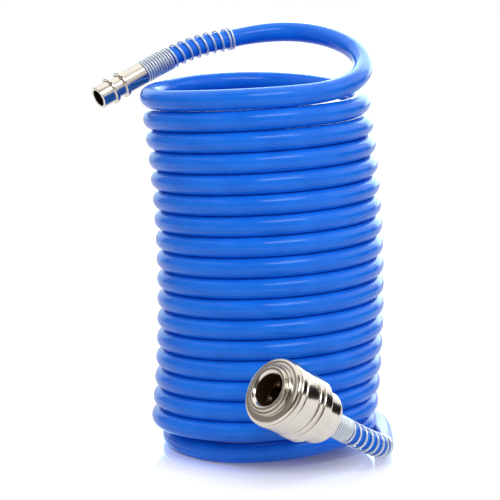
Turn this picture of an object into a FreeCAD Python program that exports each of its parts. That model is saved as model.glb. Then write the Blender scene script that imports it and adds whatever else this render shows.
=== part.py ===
import FreeCAD, Part
import Sketcher
import math
import os

# Coiled air hose: a tube wound into an upright coil, a plug nipple on the upper end and a
# quick coupler on the lower end, each behind a spring that guards the hose against kinking.
# Millimetres, +Z up, origin on the floor at the centre of the coil's lowest turn.

Vector = FreeCAD.Vector
UP = Vector(0, 0, 1)

doc = FreeCAD.newDocument("CoiledAirHose")
sheet = doc.addObject("Spreadsheet::Sheet", "Sizes")

SIZES = [
    # hose
    ("hose_outer", 8.0, "outer diameter of the tube"),
    ("hose_bore", 5.0, "bore of the tube"),
    ("coil_radius", 44.0, "from the coil's axis to the middle of the tube"),
    ("coil_turns", 18, "full turns below the rising loop"),
    ("turn_gap", 0.45, "between one turn and the next"),
    ("rest_depth", 0.5, "how deep the lowest turn is flattened on the floor"),
    # bend guards
    ("guard_wire", 0.8, "wire of the bend guards"),
    ("guard_clearance", 0.2, "between the guard and the tube"),
    ("guard_close_pitch", 1.29, "pitch of the guard's close turns"),
    ("guard_open_pitch", 4.1, "pitch of the guard's open turns"),
    ("guard_end_pitch", 1.55, "pitch of the guard's last turns"),
    ("guard_close_turns", 11, "close turns behind the fitting"),
    ("guard_open_turns", 6.5, "open turns along the bend"),
    ("guard_end_turns", 1.5, "turns at the guard's free end"),
    ("guard_change_turns", 0.5, "turns over which the pitch changes"),
    # hose barbs
    ("barb_length", 8.0, "how far a barb reaches into the tube"),
    ("barb_ridges", 3, "ridges on a barb"),
    ("barb_rise", 0.8, "share of a ridge's length over which it rises"),
    ("barb_fall", 0.05, "share of a ridge's length over which it falls"),
    ("barb_bite", 0.25, "how far a ridge presses into the tube's wall"),
    ("barb_root", 0.15, "how far the barb stays below the bore between ridges"),
    ("air_passage", 1.5, "radius of the passage through both barbs"),
    ("seat_gap", 0.05, "between faces that seat on each other"),
    # plug nipple
    ("plug_nose_radius", 5.0, "nose that the seal grips"),
    ("plug_nose_length", 6.0, "from the tip to the first collar"),
    ("plug_bore_radius", 3.6, "open mouth of the plug"),
    ("plug_bore_depth", 15.0, "depth of the plug's mouth"),
    ("collar_radius", 6.0, "both collars of the plug"),
    ("collar_width", 1.6, "both collars of the plug"),
    ("neck_radius", 4.7, "between the collars, where the balls lock"),
    ("neck_width", 4.1, "between the collars"),
    ("plug_stem_radius", 5.2, "cylinder behind the collars"),
    ("plug_stem_length", 10.0, "cylinder behind the collars"),
    # coupler bodies
    ("nose_radius", 9.2, "outside of the front body"),
    ("mouth_clearance", 0.6, "between a collar and the mouth"),
    ("mouth_depth", 7.7, "wide stretch of the mouth"),
    ("mouth_bevel", 0.5, "bevel round the mouth"),
    ("bore_clearance", 0.2, "between a collar and the bore at the balls"),
    ("seal_place", 15.6, "from the mouth to the lip seal"),
    ("seal_width", 2.0, "lip seal along the axis"),
    ("seal_outer", 7.15, "outer radius of the lip seal"),
    ("pilot_clearance", 0.4, "between the plug's nose and its pilot bore"),
    ("valve_lip_place", 20.6, "from the mouth to the lip that the valve closes on"),
    ("valve_lip_width", 1.0, "that lip along the axis"),
    ("chamber_radius", 6.8, "valve chamber"),
    ("front_body_length", 30.5, "from the mouth to the front body's rear end"),
    ("rear_wall", 3.5, "from the front body's rear end to the rear body's rear face"),
    ("rear_body_radius", 11.2, "cylinder of the rear body"),
    ("rear_body_place", 21.5, "from the mouth to the rear body's front face"),
    ("rear_face_radius", 10.0, "rear face of the rear body"),
    ("rear_round_radius", 4.35, "rounding between the rear face and the rear body's cylinder"),
    ("rear_round_length", 3.0, "that rounding along the axis"),
    ("body_seal_width", 1.1, "seal between the two bodies"),
    # release sleeve
    ("sleeve_place", 2.6, "from the mouth to the sleeve's front"),
    ("sleeve_length", 21.4, "release sleeve"),
    ("sleeve_travel", 4.2, "how far the sleeve slides back"),
    ("sleeve_gap", 0.15, "between the sleeve and the front body"),
    ("sleeve_front_radius", 10.9, "front edge of the sleeve"),
    ("rim_radius", 13.5, "front edge of the flange, outside the hollowed face"),
    ("rim_place", 0.6, "from the sleeve's front to that edge"),
    ("face_hollow_radius", 2.6, "curve of the hollowed face"),
    ("flange_radius", 14.2, "flange of the sleeve"),
    ("flange_front", 1.8, "from the sleeve's front to the flange"),
    ("flange_width", 1.9, "flange along the axis"),
    ("groove_width", 0.6, "grooves round the sleeve"),
    ("groove_depth", 0.7, "grooves round the sleeve"),
    ("ridge_width", 2.3, "ridge behind the flange"),
    ("ridge_radius", 13.9, "ridge behind the flange"),
    ("band_radius", 13.7, "band and skirt of the sleeve"),
    ("barrel_radius", 13.4, "ends of the sleeve's barrel"),
    ("barrel_length", 6.0, "sleeve's barrel"),
    ("barrel_swell_radius", 10.5, "curve of the barrel's side"),
    ("band_width", 2.8, "band between the barrel and the skirt"),
    ("chamber_wall_radius", 11.0, "spring chamber in the sleeve"),
    ("chamber_place", 12.8, "from the mouth to the spring chamber"),
    ("skirt_place", 17.0, "from the mouth to the sleeve's wide skirt"),
    ("skirt_clearance", 0.15, "between the skirt and the rear body"),
    # locking balls
    ("ball_radius", 2.1, "locking balls"),
    ("ball_count", 6, "locking balls"),
    ("ball_place", 10.5, "from the mouth to the balls' centres"),
    ("ball_circle", 7.2, "radius of the balls' circle when locked"),
    ("ball_gap", 0.05, "round a ball in its hole"),
    ("overtravel", 0.3, "room past the sleeve's travel at its cone"),
    ("cone_slope", 0.25, "rise of the sleeve's cone that lets the balls out"),
    # retaining ring
    ("ring_place", 1.2, "from the mouth to the retaining ring"),
    ("ring_width", 1.3, "retaining ring"),
    ("ring_outer", 10.5, "retaining ring"),
    ("ring_groove", 0.4, "depth of the groove that holds the ring"),
    ("ring_slit", 1.5, "gap in the retaining ring"),
    # valve
    ("poppet_stem_radius", 4.4, "stem that the plug pushes"),
    ("poppet_stem_bore", 3.4, "hollow of the stem"),
    ("poppet_stem_length", 6.0, "stem ahead of the head"),
    ("poppet_head_radius", 6.2, "head of the poppet"),
    ("poppet_head_length", 1.6, "head of the poppet"),
    ("poppet_guide_radius", 3.0, "boss that centres the spring"),
    ("poppet_guide_length", 1.2, "boss that centres the spring"),
    ("port_radius", 1.2, "cross holes in the stem"),
    ("port_count", 2, "cross holes in the stem"),
    ("valve_seal_width", 1.0, "seal on the poppet"),
    ("valve_seal_outer", 6.1, "seal on the poppet"),
    # inner springs
    ("sleeve_wire", 0.9, "wire of the sleeve's spring"),
    ("sleeve_curls", 3.5, "curls of the sleeve's spring"),
    ("valve_wire", 0.6, "wire of the valve's spring"),
    ("valve_curls", 3, "curls of the valve's spring"),
    ("valve_spring_radius", 4.4, "middle of the wire of the valve's spring"),
]


class Term:
    """A size as a number, together with the sheet expression that gives it."""

    def __init__(self, value, text):
        self.value = float(value)
        self.text = text

    def __add__(self, other):
        other = term(other)
        return Term(self.value + other.value, "(%s + %s)" % (self.text, other.text))

    def __sub__(self, other):
        other = term(other)
        return Term(self.value - other.value, "(%s - %s)" % (self.text, other.text))

    def __mul__(self, other):
        other = term(other)
        return Term(self.value * other.value, "(%s * %s)" % (self.text, other.text))

    def __truediv__(self, other):
        other = term(other)
        return Term(self.value / other.value, "(%s / %s)" % (self.text, other.text))


def term(value):
    return value if isinstance(value, Term) else Term(value, repr(float(value)))


def fill_sheet():
    """Write every size into the sheet and return it by name."""
    for row, (alias, value, meaning) in enumerate(SIZES, start=1):
        sheet.set("A%d" % row, meaning)
        sheet.set("B%d" % row, str(value))
        sheet.setAlias("B%d" % row, alias)
    doc.recompute()
    return {alias: Term(sheet.get(alias), "Sizes." + alias) for alias, value, meaning in SIZES}


S = fill_sheet()
HOSE_RADIUS = S["hose_outer"] / 2
CURVE_POINTS_PER_TURN = 4


# Curves made of biarcs

def joint_of(start, heading, end, last_heading):
    """The point and heading where two arcs of equal tangent length meet."""
    chord = end - start
    both = heading + last_heading
    square = 2 * (heading.dot(last_heading) - 1)
    linear = -2 * chord.dot(both)
    rest = chord.dot(chord)
    if abs(square) < 1e-12:
        reach = -rest / linear
    else:
        root = math.sqrt(linear * linear - 4 * square * rest)
        reach = min(r for r in ((-linear + root) / (2 * square), (-linear - root) / (2 * square)) if r > 0)
    near = start + heading * reach
    far = end - last_heading * reach
    return (near + far) * 0.5, (far - near).normalize()


def arc_edge(start, heading, end):
    """The arc that leaves start along heading and ends at end."""
    chord = end - start
    inward = (chord - heading * chord.dot(heading)).normalize()
    radius = chord.dot(chord) / (2 * chord.dot(inward))
    centre = start + inward * radius
    middle = ((start - centre) + (end - centre)).normalize()
    return Part.Arc(start, centre + middle * radius, end).toShape()


def heading_of(curve, at):
    step = 1e-4
    return (curve(at + step) - curve(at - step)).normalize()


def wound_wire(curve, turns, first_straight, last_straight):
    """Biarcs through points of a curve given by turns, with a straight run at each end."""
    steps = int(math.ceil(turns * CURVE_POINTS_PER_TURN - 1e-9))
    places = [turns * i / steps for i in range(steps + 1)]
    points = [curve(at) for at in places]
    headings = [heading_of(curve, at) for at in places]
    edges = [Part.LineSegment(points[0] - headings[0] * first_straight, points[0]).toShape()]
    for i in range(steps):
        joint, heading = joint_of(points[i], headings[i], points[i + 1], headings[i + 1])
        edges.append(arc_edge(points[i], headings[i], joint))
        edges.append(arc_edge(joint, heading, points[i + 1]))
    edges.append(Part.LineSegment(points[-1], points[-1] + headings[-1] * last_straight).toShape())
    return Part.Wire(edges)


def pipe(wire, radius):
    """A round solid along a wire."""
    first = wire.OrderedEdges[0]
    start = first.valueAt(first.FirstParameter)
    heading = first.tangentAt(first.FirstParameter)
    ring = Part.Wire([Part.Circle(start, heading, radius).toShape()])
    shell = Part.BRepOffsetAPI.MakePipeShell(wire)
    shell.add(ring)
    shell.build()
    shell.makeSolid()
    return shell.shape()


def least_gap(curve, turns, radius):
    """The least gap between a wound tube and itself, measured on points half a turn or more apart."""
    per_turn = 36
    count = int(turns * per_turn)
    points = [curve(i / per_turn) for i in range(count + 1)]
    nearest = min(
        points[i].distanceToPoint(points[k])
        for i in range(count + 1)
        for k in range(i + per_turn // 2, count + 1)
    )
    return nearest - 2 * radius


def report_winding(name, wire, shape, curve, turns, radius):
    print(
        "%s: turns %.1f, length %.0f, volume over section times length %.4f, least gap %.2f"
        % (
            name,
            turns,
            wire.Length,
            shape.Volume / (math.pi * radius ** 2 * wire.Length),
            least_gap(curve, turns, radius),
        )
    )


# Centre lines of straight runs and tangent arcs

ARC_SHARE = 0.45


class Route:
    """A route through points, read by distance, with each corner an arc as large as its runs allow."""

    def __init__(self, name, points):
        self.edges = []
        self.spans = []
        heading = (points[1] - points[0]).normalize()
        self.frame = FreeCAD.Placement(points[0], FreeCAD.Rotation(UP, heading))
        self.place = points[0]
        for before, corner, after in zip(points, points[1:], points[2:]):
            way_in = (corner - before).normalize()
            way_out = (after - corner).normalize()
            turn = math.acos(max(-1.0, min(1.0, way_in.dot(way_out))))
            cut = ARC_SHARE * min((corner - before).Length, (after - corner).Length)
            radius = cut / math.tan(turn / 2)
            print("%s: turn %.1f degrees, radius %.1f" % (name, math.degrees(turn), radius))
            self.add_run(corner - way_in * cut)
            self.add_arc(way_in, way_out, radius, turn, corner + way_out * cut)
        self.add_run(points[-1])
        self.wire = Part.Wire(self.edges)

    def add_run(self, end):
        self.edges.append(Part.LineSegment(self.place, end).toShape())
        self.spans.append(((end - self.place).Length, self.frame, None, None))
        self.frame = FreeCAD.Placement(end, self.frame.Rotation)
        self.place = end

    def add_arc(self, way_in, way_out, radius, turn, end):
        axis = way_in.cross(way_out).normalize()
        centre = self.place + axis.cross(way_in) * radius
        self.edges.append(arc_edge(self.place, way_in, end))
        self.spans.append((radius * turn, self.frame, axis, centre))
        swing = FreeCAD.Placement(Vector(), FreeCAD.Rotation(axis, math.degrees(turn)), centre)
        self.frame = swing * self.frame
        self.place = end

    def at(self, distance):
        """The frame at a distance from the first point, local Z along the route."""
        index = 0
        while distance > self.spans[index][0] and index < len(self.spans) - 1:
            distance -= self.spans[index][0]
            index += 1
        frame, axis, centre = self.spans[index][1:]
        if axis is None:
            return FreeCAD.Placement(frame.multVec(UP * distance), frame.Rotation)
        angle = math.degrees(distance / (frame.Base - centre).Length)
        return FreeCAD.Placement(Vector(), FreeCAD.Rotation(axis, angle), centre) * frame


# Helpers for the document's objects

def pose(origin, heading):
    return FreeCAD.Placement(origin, FreeCAD.Rotation(UP, heading))


def turned(name, outline, place):
    """A body turned about its own Z axis. Each outline point is (radius, height) or
    (radius, height, curve radius, side) where an arc leads on to the next point."""
    body = doc.addObject("PartDesign::Body", name)
    sketch = body.newObject("Sketcher::SketchObject", name + "_profile")
    plane = [feature for feature in body.Origin.OriginFeatures if feature.Role == "XZ_Plane"][0]
    sketch.AttachmentSupport = [(plane, "")]
    sketch.MapMode = "FlatFace"
    corners = [Vector(term(point[0]).value, term(point[1]).value, 0) for point in outline]
    starts = []
    for i, point in enumerate(outline):
        here = corners[i]
        there = corners[(i + 1) % len(outline)]
        if len(point) == 2:
            sketch.addGeometry(Part.LineSegment(here, there), False)
            starts.append(1)
            continue
        radius = term(point[2]).value
        chord = there - here
        inward = Vector(-chord.y, chord.x, 0).normalize() * point[3]
        centre = (here + there) * 0.5 + inward * math.sqrt(radius ** 2 - (chord.Length / 2) ** 2)
        sketch.addGeometry(Part.ArcOfCircle(Part.Circle(centre, Vector(0, 0, 1), radius),
                                            *arc_range(centre, here, there, point[3])), False)
        starts.append(1 if point[3] > 0 else 2)
    tie_sketch(sketch, outline, starts)
    turn = body.newObject("PartDesign::Revolution", name + "_turn")
    turn.Profile = (sketch, [""])
    turn.ReferenceAxis = (sketch, ["V_Axis"])
    turn.Angle = 360
    body.Placement = place
    return body


def arc_range(centre, here, there, side):
    first, last = (here, there) if side > 0 else (there, here)
    start = math.atan2(first.y - centre.y, first.x - centre.x)
    end = math.atan2(last.y - centre.y, last.x - centre.x)
    return start, end if end > start else end + 2 * math.pi


def tie_sketch(sketch, outline, starts):
    """Join the outline's ends and tie every point and curve radius to the sheet."""
    count = len(outline)
    for i in range(count):
        after = (i + 1) % count
        sketch.addConstraint(Sketcher.Constraint("Coincident", i, 3 - starts[i], after, starts[after]))
    for i, point in enumerate(outline):
        for kind, size, axis in (("DistanceX", term(point[0]), -2), ("DistanceY", term(point[1]), -1)):
            if abs(size.value) < 1e-9:
                sketch.addConstraint(Sketcher.Constraint("PointOnObject", i, starts[i], axis))
                continue
            index = sketch.addConstraint(Sketcher.Constraint(kind, -1, 1, i, starts[i], size.value))
            sketch.setExpression("Constraints[%d]" % index, size.text)
        if len(point) == 4:
            radius = term(point[2])
            index = sketch.addConstraint(Sketcher.Constraint("Radius", i, radius.value))
            sketch.setExpression("Constraints[%d]" % index, radius.text)


def primitive(kind, name, sizes, place):
    """A Part primitive with its sizes tied to the sheet."""
    made = doc.addObject("Part::" + kind, name)
    for key, size in sizes.items():
        made.setExpression(key, term(size).text)
    made.Placement = place
    return made


def cut(name, base, tools):
    """The base less every tool."""
    tool = tools[0]
    if len(tools) > 1:
        tool = doc.addObject("Part::MultiFuse", name + "_tools")
        tool.Shapes = tools
    made = doc.addObject("Part::Cut", name)
    made.Base = base
    made.Tool = tool
    return made


def shaped(name, shape):
    made = doc.addObject("Part::Feature", name)
    made.Shape = shape
    return made


# Coil of the hose

LEAN_HEIGHT = 150.0
LEAN_RIGHT = 18.6
LEAN_LEFT = 21.6
TILT = 2.4
START_HEIGHT = 1.4
FLOOR_END = 190.0
FLOOR_FADE = 140.0
TAIL_LIFT = 0.5
TAIL_LIFT_SPAN = 45.0
TUCK = 7.0
TUCK_MIDDLE = 220.0
TUCK_SPAN = 130.0
SWING_SPAN = 110.0
SWING_FADE = 90.0
SWING_RIGHT = 8.0
SWING_BACK = 12.0
LOOP_LEAD = 60.0
LOOP_SPAN = 172.0
LOOP_RISE = 18.8
LOOP_DIP = 1.2
LOOP_RIGHT = 11.0
LOOP_BACK = 7.0
LOOP_DRAW_IN = 5.0

PITCH = (S["hose_outer"] + S["turn_gap"]).value
COIL_RADIUS = S["coil_radius"].value
LOOP_START = 360.0 * S["coil_turns"].value - LOOP_LEAD
COIL_TURNS = (LOOP_START + LOOP_SPAN) / 360.0
FLOOR_HEIGHT = (HOSE_RADIUS - S["rest_depth"]).value


def smooth(share):
    share = max(0.0, min(1.0, share))
    return share * share * (3 - 2 * share)


def lean(height):
    """How far the coil's axis stands to the right at a height: the pile bows over to the left."""
    share = min(height, LEAN_HEIGHT) / LEAN_HEIGHT
    return LEAN_RIGHT * share - LEAN_LEFT * share * share


def coil_point(turns):
    """The middle of the tube, counted in turns from the lower end, where 0 is at the right."""
    degrees = 360.0 * turns
    angle = 2 * math.pi * turns
    free = START_HEIGHT + PITCH * turns + TILT / 2 * math.cos(angle)
    on_floor = 1 - smooth((degrees - FLOOR_END) / FLOOR_FADE)
    lift = TAIL_LIFT * max(0.0, min(1.0, (TAIL_LIFT_SPAN - degrees) / TAIL_LIFT_SPAN)) ** 2
    if degrees < 0:
        lift = TAIL_LIFT * (1 - 2 * degrees / TAIL_LIFT_SPAN)
    loop = max(0.0, (degrees - LOOP_START) / LOOP_SPAN)
    rise = LOOP_RISE * math.sin(loop * LOOP_DIP * math.pi / 2) ** 2
    swing = smooth((SWING_SPAN - degrees) / SWING_FADE)
    away = abs(degrees - TUCK_MIDDLE) / TUCK_SPAN
    tuck = TUCK * (1 + math.cos(math.pi * away)) / 2 if away < 1 else 0.0
    radius = COIL_RADIUS - tuck - LOOP_DRAW_IN * smooth(loop)
    centre = Vector(lean(free) + LOOP_RIGHT * smooth(loop) + SWING_RIGHT * swing,
                    LOOP_BACK * smooth(loop) + SWING_BACK * swing, 0)
    height = FLOOR_HEIGHT * on_floor + free * (1 - on_floor) + lift + rise
    return centre + Vector(radius * math.cos(angle), radius * math.sin(angle), height)


def make_coil():
    """One unbroken tube, flattened where the lowest turn lies on the floor."""
    straight = S["hose_outer"].value
    radius = HOSE_RADIUS.value
    wire = wound_wire(coil_point, COIL_TURNS, straight, straight)
    tube = pipe(wire, radius)
    report_winding("hose_coil", wire, tube, coil_point, COIL_TURNS, radius)
    width = S["coil_radius"] * 4
    floor = primitive("Box", "floor_cut", {"Length": width, "Width": width, "Height": S["hose_outer"]},
                      FreeCAD.Placement(Vector(-width.value / 2, -width.value / 2, -S["hose_outer"].value),
                                        FreeCAD.Rotation()))
    return cut("hose_coil", shaped("coil_tube", tube), [floor])


# Routes of the two free ends, each point seen from the coil's end

LOWER_FIRST_RUN = 17.0
LOWER_POINTS = [Vector(-1.6, -41.5, 3.1), Vector(-12.3, -57.1, 10.9), Vector(-28.5, -71.7, 23.1)]
UPPER_FIRST_RUN = 13.0
UPPER_POINTS = [Vector(-24.77, -12.66, -6.86), Vector(-37.25, -20.55, -13.75)]
LOWER_HEADING = heading_of(coil_point, 0.0) * -1
UPPER_HEADING = heading_of(coil_point, COIL_TURNS)
LOWER_END = coil_point(0.0) + LOWER_HEADING * S["hose_outer"].value
UPPER_END = coil_point(COIL_TURNS) + UPPER_HEADING * S["hose_outer"].value


def free_end(name, end, heading, first_run, points):
    """The route from the fitting's shoulder back to the coil."""
    route = [end, end + heading * first_run] + [end + point for point in points]
    return Route(name, route[::-1])


LOWER_ROUTE = free_end("coupler_hose_tail", LOWER_END, LOWER_HEADING, LOWER_FIRST_RUN, LOWER_POINTS)
UPPER_ROUTE = free_end("plug_hose_tail", UPPER_END, UPPER_HEADING, UPPER_FIRST_RUN, UPPER_POINTS)


def fitting_pose(route):
    """The pose of a fitting: its local Z leaves the hose, and its origin is the end of its barb."""
    start = route.at(0.0)
    outward = start.Rotation.multVec(UP) * -1
    return pose(start.Base - outward * S["barb_length"].value, outward)


COUPLER = fitting_pose(LOWER_ROUTE)
PLUG = fitting_pose(UPPER_ROUTE)
SHOULDER = S["barb_length"]
MOUTH = SHOULDER + S["rear_wall"] + S["front_body_length"]


def make_tail(name, route, fitting):
    """A hollow stretch of tube between the coil's end and a fitting, pressed onto its barb."""
    outer = pipe(route.wire, HOSE_RADIUS.value)
    inner = pipe(route.wire, S["hose_bore"].value / 2)
    section = math.pi * HOSE_RADIUS.value ** 2
    print("%s: length %.1f, volume over section times length %.4f"
          % (name, route.wire.Length, outer.Volume / (section * route.wire.Length)))
    return cut(name, shaped(name + "_tube", outer.cut(inner)), [fitting])


# Bend guards

def guard_pitches():
    """Turns of the guard with the pitch that each stretch reaches."""
    close = S["guard_close_pitch"].value
    wide = S["guard_open_pitch"].value
    end = S["guard_end_pitch"].value
    return [
        (0.0, close),
        (S["guard_close_turns"].value, close),
        (S["guard_change_turns"].value, wide),
        (S["guard_open_turns"].value, wide),
        (S["guard_change_turns"].value, end),
        (S["guard_end_turns"].value, end),
    ]


def advance(pitches, turns):
    """How far along its axis a spring has come, with the pitch changing evenly over each stretch."""
    distance = 0.0
    pitch = pitches[0][1]
    for span, next_pitch in pitches[1:]:
        part = min(turns, span)
        reached = pitch + (next_pitch - pitch) * part / span
        distance += part * (pitch + reached) / 2
        turns -= part
        pitch = next_pitch
        if turns <= 0:
            return distance
    return distance + turns * pitch


def make_guard(name, route):
    """A spring round the tube: close turns behind the fitting, open turns along the bend."""
    pitches = guard_pitches()
    turns = sum(span for span, pitch in pitches)
    wire_radius = S["guard_wire"].value / 2
    radius = HOSE_RADIUS.value + S["guard_clearance"].value + wire_radius
    lead = wire_radius + S["seat_gap"].value

    def curve(at):
        angle = 2 * math.pi * at
        distance = lead + (advance(pitches, at) if at > 0 else at * pitches[0][1])
        return route.at(distance).multVec(Vector(radius * math.cos(angle), radius * math.sin(angle), 0))

    wire = wound_wire(curve, turns, S["guard_wire"].value, S["guard_wire"].value)
    shape = pipe(wire, wire_radius)
    report_winding(name, wire, shape, curve, turns, wire_radius)
    return shaped(name, shape)


def make_spring(name, place, start, end, radius, wire_size, curls):
    """A compression spring between two heights of a fitting."""
    wire_radius = wire_size.value / 2
    low = start.value + wire_radius + S["seat_gap"].value
    high = end.value - wire_radius - S["seat_gap"].value
    turns = curls.value

    def curve(at):
        angle = 2 * math.pi * at
        height = low + (high - low) * at / turns
        return Vector(radius.value * math.cos(angle), radius.value * math.sin(angle), height)

    wire = wound_wire(curve, turns, wire_size.value, wire_size.value)
    shape = pipe(wire, wire_radius)
    report_winding(name, wire, shape, curve, turns, wire_radius)
    made = shaped(name, shape)
    made.Placement = place
    return made


# Fittings

def barb_outline():
    """The barb from its free end to the shoulder: ridges that rise towards the shoulder."""
    root = S["hose_bore"] / 2 - S["barb_root"]
    top = S["hose_bore"] / 2 + S["barb_bite"]
    count = int(S["barb_ridges"].value)
    pitch = SHOULDER / S["barb_ridges"]
    points = [(S["air_passage"], term(0)), (root, term(0))]
    for i in range(count):
        points.append((top, pitch * (S["barb_rise"] + i)))
        points.append((root, pitch * (S["barb_rise"] + S["barb_fall"] + i)))
        if i < count - 1:
            points.append((root, pitch * (i + 1)))
    return points


def make_plug_nipple():
    """Turned nipple: barb, cylinder, two collars with the neck between them, and the open nose."""
    root = S["hose_bore"] / 2 - S["barb_root"]
    stem_top = SHOULDER + S["plug_stem_length"]
    rear_collar = stem_top + S["collar_width"]
    neck_top = rear_collar + S["neck_width"]
    front_collar = neck_top + S["collar_width"]
    tip = front_collar + S["plug_nose_length"]
    edge = S["mouth_bevel"] / 2
    bore_floor = tip - S["plug_bore_depth"]
    outline = barb_outline() + [
        (root, SHOULDER),
        (S["plug_stem_radius"], SHOULDER),
        (S["plug_stem_radius"], stem_top),
        (S["collar_radius"], stem_top),
        (S["collar_radius"], rear_collar),
        (S["neck_radius"], rear_collar),
        (S["neck_radius"], neck_top),
        (S["collar_radius"], neck_top),
        (S["collar_radius"], front_collar),
        (S["plug_nose_radius"], front_collar),
        (S["plug_nose_radius"], tip - edge),
        (S["plug_nose_radius"] - edge, tip),
        (S["plug_bore_radius"], tip),
        (S["plug_bore_radius"], bore_floor),
        (S["air_passage"], bore_floor - S["plug_bore_radius"] + S["air_passage"]),
    ]
    return turned("plug_nipple", outline, PLUG)


def make_rear_body():
    """Rear body: barb, rounded rear edge, cylinder under the sleeve's skirt and the front body's socket."""
    root = S["hose_bore"] / 2 - S["barb_root"]
    front = MOUTH - S["rear_body_place"]
    cylinder_end = SHOULDER + S["rear_round_length"]
    socket = MOUTH - S["front_body_length"]
    groove_outer = S["nose_radius"] - S["ring_groove"]
    groove_floor = socket - S["body_seal_width"]
    outline = barb_outline() + [
        (root, SHOULDER),
        (S["rear_face_radius"], SHOULDER, S["rear_round_radius"], 1),
        (S["rear_body_radius"], cylinder_end),
        (S["rear_body_radius"], front),
        (S["nose_radius"], front),
        (S["nose_radius"], socket),
        (groove_outer, socket),
        (groove_outer, groove_floor),
        (groove_outer - S["body_seal_width"], groove_floor),
        (groove_outer - S["body_seal_width"], socket),
        (S["air_passage"], socket),
    ]
    return turned("coupler_rear_body", outline, COUPLER)


def make_body_seal():
    """Square ring in the rear body's groove, behind the front body's end."""
    socket = MOUTH - S["front_body_length"]
    outer = S["nose_radius"] - S["ring_groove"] - S["seat_gap"]
    inner = S["nose_radius"] - S["ring_groove"] - S["body_seal_width"] + S["seat_gap"]
    low = socket - S["body_seal_width"]
    outline = [(inner, low), (outer, low), (outer, socket), (inner, socket)]
    return turned("body_seal", outline, COUPLER)


def make_front_body():
    """Front body: mouth, bore with six ball holes, seal groove, pilot bore, valve lip and chamber."""
    mouth_radius = S["collar_radius"] + S["mouth_clearance"]
    bore_radius = S["collar_radius"] + S["bore_clearance"]
    pilot_radius = S["plug_nose_radius"] + S["pilot_clearance"]
    lip_radius = S["poppet_stem_radius"] + S["pilot_clearance"]
    seal_radius = S["seal_outer"] + S["seat_gap"]
    mouth_end = MOUTH - S["mouth_bevel"] - S["mouth_depth"]
    seal_front = MOUTH - S["seal_place"] + S["seat_gap"]
    seal_rear = MOUTH - S["seal_place"] - S["seal_width"] - S["seat_gap"]
    lip_front = MOUTH - S["valve_lip_place"]
    lip_rear = lip_front - S["valve_lip_width"]
    end = MOUTH - S["front_body_length"]
    groove_radius = S["nose_radius"] - S["ring_groove"]
    groove_front = MOUTH - S["ring_place"] + S["seat_gap"]
    groove_rear = MOUTH - S["ring_place"] - S["ring_width"] - S["seat_gap"]
    outline = [
        (S["chamber_radius"], end),
        (S["nose_radius"], end),
        (S["nose_radius"], groove_rear),
        (groove_radius, groove_rear),
        (groove_radius, groove_front),
        (S["nose_radius"], groove_front),
        (S["nose_radius"], MOUTH - S["mouth_bevel"] / 2),
        (S["nose_radius"] - S["mouth_bevel"] / 2, MOUTH),
        (mouth_radius + S["mouth_bevel"], MOUTH),
        (mouth_radius, MOUTH - S["mouth_bevel"]),
        (mouth_radius, mouth_end),
        (bore_radius, mouth_end),
        (bore_radius, seal_front),
        (seal_radius, seal_front),
        (seal_radius, seal_rear),
        (pilot_radius, seal_rear),
        (pilot_radius, lip_front),
        (lip_radius, lip_front),
        (lip_radius, lip_rear),
        (S["chamber_radius"], lip_rear),
    ]
    body = turned("front_body_blank", outline, COUPLER)
    hole_radius = S["ball_radius"] + S["ball_gap"]
    tools = []
    for i in range(int(S["ball_count"].value)):
        hole = ball_pose(i)
        tools.append(primitive("Sphere", "ball_seat_%d" % (i + 1), {"Radius": hole_radius}, hole))
        tools.append(primitive("Cylinder", "ball_hole_%d" % (i + 1),
                               {"Radius": hole_radius, "Height": S["nose_radius"]}, hole))
    return cut("coupler_front_body", body, tools)


def ball_pose(index):
    """The pose of a locked ball, its local Z pointing away from the coupler's axis."""
    angle = 360.0 * (index + 0.5) / int(S["ball_count"].value)
    spoke = FreeCAD.Placement(Vector(0, 0, (MOUTH - S["ball_place"]).value), FreeCAD.Rotation(UP, angle))
    outward = FreeCAD.Placement(Vector(S["ball_circle"].value, 0, 0), FreeCAD.Rotation(Vector(0, 1, 0), 90))
    return COUPLER * spoke * outward


def make_balls():
    return [
        primitive("Sphere", "locking_ball_%d" % (i + 1), {"Radius": S["ball_radius"]}, ball_pose(i))
        for i in range(int(S["ball_count"].value))
    ]


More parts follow.
